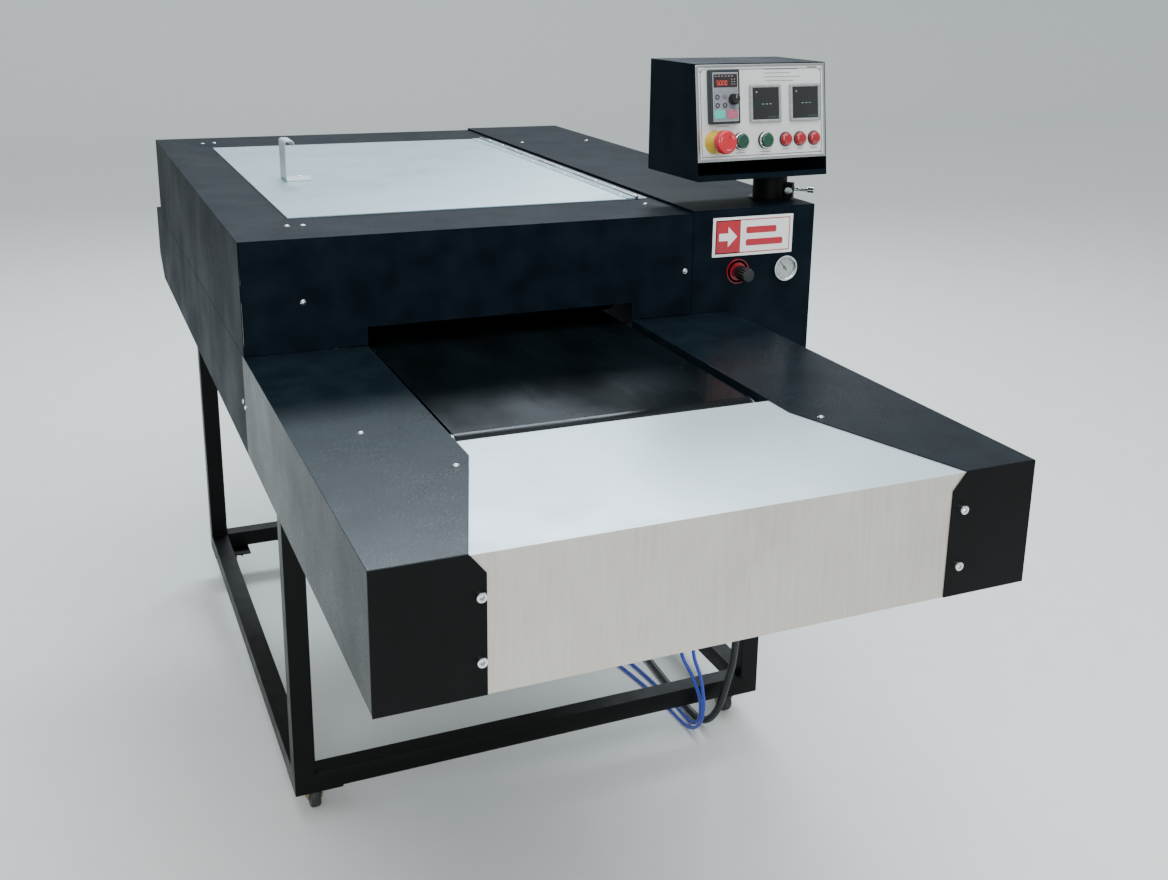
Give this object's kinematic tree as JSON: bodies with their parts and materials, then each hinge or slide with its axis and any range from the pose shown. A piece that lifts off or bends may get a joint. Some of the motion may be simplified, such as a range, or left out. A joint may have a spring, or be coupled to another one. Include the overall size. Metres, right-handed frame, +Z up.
{
  "type": "conveyor heat press",
  "caption": "Free-standing tunnel heat press with a belt feed table, hinged hood lid, swivelling control box and air controls on a wheeled tube frame.",
  "frame": {"origin": "on the floor under the middle of the machine's plan", "axes": "+Z up, +Y from the feed table towards the rear of the hood, +X towards the cabinet"},
  "size_m": [1.1317, 2.381, 1.4425],
  "materials": {
    "painted_frame": "gloss black enamel on square steel tube",
    "powder_coat": "blue-black fine-texture powder coat on 1.5 mm sheet steel",
    "black_plate": "satin black paint",
    "stainless": "satin brushed stainless sheet",
    "lid_paint": "pale blue-grey satin sheet",
    "steel_parts": "turned and ground steel",
    "bearing_iron": "cast flange bearing housings",
    "zinc_plate": "yellow zinc plated pressings",
    "wheel_rubber": "hard black tread",
    "belt": "black PTFE coated glass cloth",
    "press_rubber": "red-brown silicone rubber cover",
    "aluminium_parts": "milled and anodised",
    "motor_paint": "blue-grey machine paint",
    "panel_white": "white enamelled sheet",
    "device_black": "moulded black plastic",
    "stop_red": "red moulded plastic",
    "button_green": "green moulded plastic",
    "chrome_parts": "bright plated steel",
    "regulator_red": "red moulded plastic",
    "hose_blue": "blue polyurethane tube",
    "cable_black": "black flexible sheath"
  },
  "bodies": {
    "machine": {"base_frame": "painted_frame", "caster_tops": "zinc_plate", "conveyor_frame": "steel_parts", "roller_bearings": "bearing_iron", "lower_belt": "belt", "upper_belt": "belt", "press_cylinders": "aluminium_parts", "heater_plates": "aluminium_parts", "gear_motor": "motor_paint", "drive_chain": "steel_parts", "arm_cover_left": "powder_coat", "arm_cover_right": "powder_coat", "end_plates": "black_plate", "feed_table": "stainless", "lower_cover": "powder_coat", "hood": "powder_coat", "lid_hinge": "steel_parts", "cabinet_shell": "powder_coat", "cabinet_front": "powder_coat", "post": "black_plate", "regulator_body": "regulator_red", "gauge_case": "chrome_parts", "cover_screws": "chrome_parts", "glands": "device_black", "air_hose_left": "hose_blue", "air_hose_right": "hose_blue", "mains_cable": "cable_black", "mains_coil": "cable_black", "mains_plug": "cable_black"},
    "lid": {"hood_lid": "lid_paint", "lid_handle": "lid_paint"},
    "control_head": {"control_box": "powder_coat", "control_panel": "panel_white", "speed_keypad": "device_black", "temperature_controllers": "device_black", "pilot_lamps": "stop_red", "post_sleeve": "black_plate"},
    "clamp": {"clamp_lever": "chrome_parts"},
    "stop": {"stop_button": "stop_red"},
    "start": {"start_button": "button_green"},
    "heat": {"heat_button": "button_green"},
    "speed": {"speed_knob": "device_black"},
    "regulator": {"regulator_knob": "device_black"},
    "needle": {"gauge_needle": "device_black"},
    "carriage": {"press_carriage": "steel_parts"},
    "press_roll": {"press_roller": "press_rubber"},
    "counter_roll": {"counter_roller": "steel_parts"},
    "front_roll": {"front_roller": "steel_parts"},
    "rear_roll": {"rear_roller": "steel_parts"},
    "upper_front_roll": {"upper_front_roller": "steel_parts"},
    "upper_rear_roll": {"upper_rear_roller": "steel_parts"},
    "motor_drive": {"motor_sprocket": "steel_parts"},
    "fork_fl": {"caster_fork_fl": "zinc_plate"},
    "wheel_fl": {"caster_wheel_fl": "wheel_rubber"},
    "fork_fr": {"caster_fork_fr": "zinc_plate"},
    "wheel_fr": {"caster_wheel_fr": "wheel_rubber"},
    "fork_rl": {"caster_fork_rl": "zinc_plate"},
    "wheel_rl": {"caster_wheel_rl": "wheel_rubber"},
    "fork_rr": {"caster_fork_rr": "zinc_plate"},
    "wheel_rr": {"caster_wheel_rr": "wheel_rubber"}
  },
  "joints": [
    {"name": "swivel_fl", "type": "hinge", "parent": "machine", "child": "fork_fl", "pos_m": [-0.46297, -0.2165, 0.065], "axis": [0, 0, 1], "continuous": true},
    {"name": "roll_fl", "type": "hinge", "parent": "fork_fl", "child": "wheel_fl", "pos_m": [-0.46297, -0.1985, 0.025], "axis": [1, 0, 0], "continuous": true},
    {"name": "swivel_fr", "type": "hinge", "parent": "machine", "child": "fork_fr", "pos_m": [0.45603, -0.2165, 0.065], "axis": [0, 0, 1], "continuous": true},
    {"name": "roll_fr", "type": "hinge", "parent": "fork_fr", "child": "wheel_fr", "pos_m": [0.45603, -0.1985, 0.025], "axis": [1, 0, 0], "continuous": true},
    {"name": "swivel_rl", "type": "hinge", "parent": "machine", "child": "fork_rl", "pos_m": [-0.46297, 0.9085, 0.065], "axis": [0, 0, 1], "continuous": true},
    {"name": "roll_rl", "type": "hinge", "parent": "fork_rl", "child": "wheel_rl", "pos_m": [-0.46297, 0.9265, 0.025], "axis": [1, 0, 0], "continuous": true},
    {"name": "swivel_rr", "type": "hinge", "parent": "machine", "child": "fork_rr", "pos_m": [0.45603, 0.9085, 0.065], "axis": [0, 0, 1], "continuous": true},
    {"name": "roll_rr", "type": "hinge", "parent": "fork_rr", "child": "wheel_rr", "pos_m": [0.45603, 0.9265, 0.025], "axis": [1, 0, 0], "continuous": true},
    {"name": "lid_hinge", "type": "hinge", "parent": "machine", "child": "lid", "pos_m": [0.23753, -0.1445, 1.1705], "axis": [0, 1, 0], "range_deg": [0, 85]},
    {"name": "head_swivel", "type": "hinge", "parent": "machine", "child": "control_head", "pos_m": [0.48903, -0.2325, 1.172], "axis": [0, 0, 1], "range_deg": [-90, 90]},
    {"name": "clamp_turn", "type": "hinge", "parent": "control_head", "child": "clamp", "pos_m": [0.51802, -0.26149, 1.19], "axis": [0.7071, 0.7071, 0], "range_deg": [-35, 10]},
    {"name": "stop_push", "type": "slide", "parent": "control_head", "child": "stop", "axis": [-0.064, 0.9896, -0.1288], "range_m": [0, 0.005]},
    {"name": "start_push", "type": "slide", "parent": "control_head", "child": "start", "axis": [-0.064, 0.9896, -0.1288], "range_m": [0, 0.004], "stiffness_N_per_m": 800, "springref_m": -0.002},
    {"name": "heat_push", "type": "slide", "parent": "control_head", "child": "heat", "axis": [-0.064, 0.9896, -0.1288], "range_m": [0, 0.004], "stiffness_N_per_m": 800, "springref_m": -0.002},
    {"name": "speed_turn", "type": "hinge", "parent": "control_head", "child": "speed", "pos_m": [0.34105, -0.315, 1.37654], "axis": [0.064, -0.9896, 0.1288], "range_deg": [-150, 150]},
    {"name": "regulator_turn", "type": "hinge", "parent": "machine", "child": "regulator", "pos_m": [0.36803, -0.3315, 1.05], "axis": [0, -1, 0], "range_deg": [-540, 540]},
    {"name": "needle_turn", "type": "hinge", "parent": "machine", "child": "needle", "pos_m": [0.47203, -0.3315, 1.05], "axis": [0, -1, 0], "range_deg": [-135, 135]},
    {"name": "press_lift", "type": "slide", "parent": "machine", "child": "carriage", "axis": [0, 0, 1], "range_m": [-0.006, 0], "stiffness_N_per_m": 5000, "springref_m": 0.03},
    {"name": "rear_turn", "type": "hinge", "parent": "machine", "child": "rear_roll", "pos_m": [-0.10397, 1.1125, 0.9235], "axis": [1, 0, 0], "continuous": true},
    {"name": "front_turn", "type": "hinge", "parent": "machine", "child": "front_roll", "pos_m": [-0.10397, -0.785, 0.9235], "axis": [1, 0, 0], "continuous": true},
    {"name": "upper_front_turn", "type": "hinge", "parent": "machine", "child": "upper_front_roll", "pos_m": [-0.10397, -0.2325, 1.0125], "axis": [1, 0, 0], "continuous": true},
    {"name": "upper_rear_turn", "type": "hinge", "parent": "machine", "child": "upper_rear_roll", "pos_m": [-0.10397, 1.0005, 1.0125], "axis": [1, 0, 0], "continuous": true},
    {"name": "counter_turn", "type": "hinge", "parent": "machine", "child": "counter_roll", "pos_m": [-0.10397, 0.9125, 0.9363], "axis": [1, 0, 0], "continuous": true},
    {"name": "press_turn", "type": "hinge", "parent": "carriage", "child": "press_roll", "pos_m": [-0.10397, 0.9125, 1.0057], "axis": [1, 0, 0], "continuous": true},
    {"name": "motor_turn", "type": "hinge", "parent": "machine", "child": "motor_drive", "pos_m": [0.23103, 0.8975, 0.9235], "axis": [1, 0, 0], "continuous": true}
  ],
  "couplings": [
    {"joint": "front_turn", "follows": "rear_turn", "ratio": 1},
    {"joint": "upper_front_turn", "follows": "rear_turn", "ratio": -1},
    {"joint": "upper_rear_turn", "follows": "rear_turn", "ratio": -1},
    {"joint": "counter_turn", "follows": "rear_turn", "ratio": 1.5115},
    {"joint": "press_turn", "follows": "rear_turn", "ratio": -1.5115},
    {"joint": "motor_turn", "follows": "rear_turn", "ratio": 1.3333},
    {"joint": "needle_turn", "follows": "regulator_turn", "ratio": 0.25}
  ]
}
